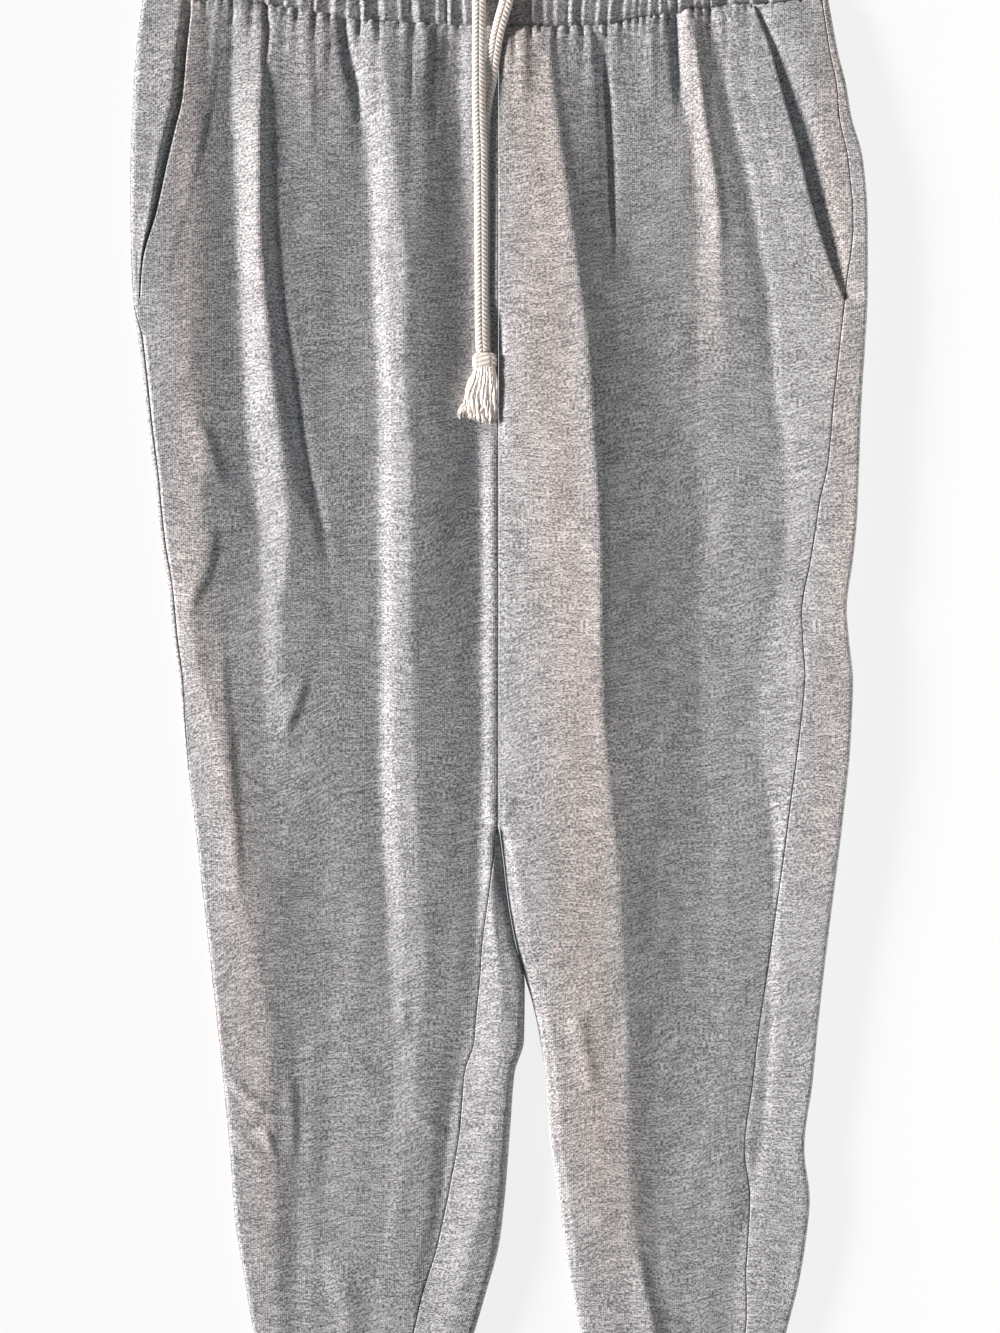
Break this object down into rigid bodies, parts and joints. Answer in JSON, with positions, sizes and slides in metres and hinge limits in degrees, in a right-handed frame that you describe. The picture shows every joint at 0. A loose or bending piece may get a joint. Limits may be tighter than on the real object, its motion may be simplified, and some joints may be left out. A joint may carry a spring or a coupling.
{
  "type": "jogger sweatpants laid flat",
  "caption": "Drop-crotch jogger sweatpants in heather fleece lying flat, with slant pockets, gathered drawcord waistband, long tasselled cords and ribbed cuffs.",
  "frame": {"origin": "centre of the garment's outline on the surface it lies on", "axes": "+Y up the garment towards the waistband, +X towards the wearer's left, +Z out of the front, away from the surface"},
  "size_m": [0.4728, 1.0003, 0.0196],
  "materials": {
    "heather_fleece": "grey heather brushed terry",
    "heather_rib": "grey heather rib knit and gathered casing",
    "oat_braid": "soft cotton braid"
  },
  "bodies": {
    "root": {"front_right": "heather_fleece", "front_left": "heather_fleece", "back_right": "heather_fleece", "back_left": "heather_fleece", "pocket_facing_right": "heather_fleece", "pocket_facing_left": "heather_fleece", "waistband": "heather_rib", "cuff_right": "heather_rib", "cuff_left": "heather_rib", "drawcord_right": "oat_braid", "drawcord_left": "oat_braid", "tassel_right": "oat_braid", "tassel_left": "oat_braid"}
  },
  "joints": []
}
